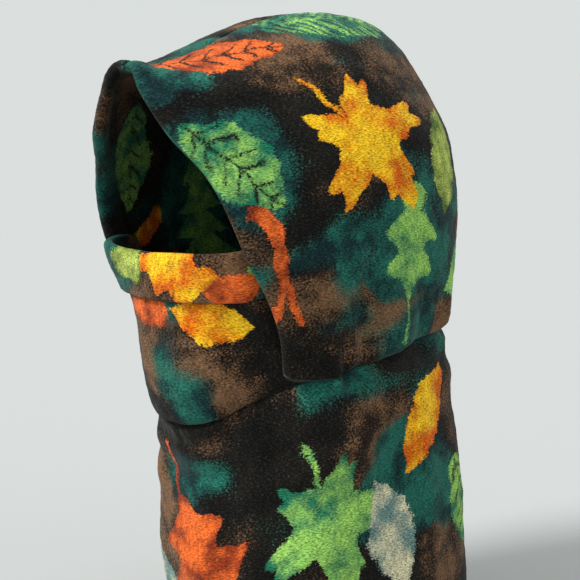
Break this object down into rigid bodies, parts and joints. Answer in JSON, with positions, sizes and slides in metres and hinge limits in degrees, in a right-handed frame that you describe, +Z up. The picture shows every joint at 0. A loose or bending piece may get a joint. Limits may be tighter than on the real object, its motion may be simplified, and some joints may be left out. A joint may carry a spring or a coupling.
{
  "type": "hood",
  "caption": "Pull-on winter hood of thick printed plush fleece with a built-in mouth cover, turned-down face band and a long neck tube.",
  "frame": {"origin": "where the top of the wearer's head meets the inside of the crown, on the centre plane", "axes": "+Z up, the face opening looks along -Y, +X is the wearer's left side"},
  "size_m": [0.1964, 0.2888, 0.4312],
  "materials": {
    "printed_fleece": "short plush pile, printed in dark teal, green, brown, yellow and orange",
    "printed_fleece_band": "the same plush fleece where the print is mostly ochre and brown"
  },
  "bodies": {
    "root": {"hood_left_panel": "printed_fleece", "hood_right_panel": "printed_fleece", "face_panel": "printed_fleece", "face_band": "printed_fleece_band", "neck_tube": "printed_fleece"}
  },
  "joints": []
}
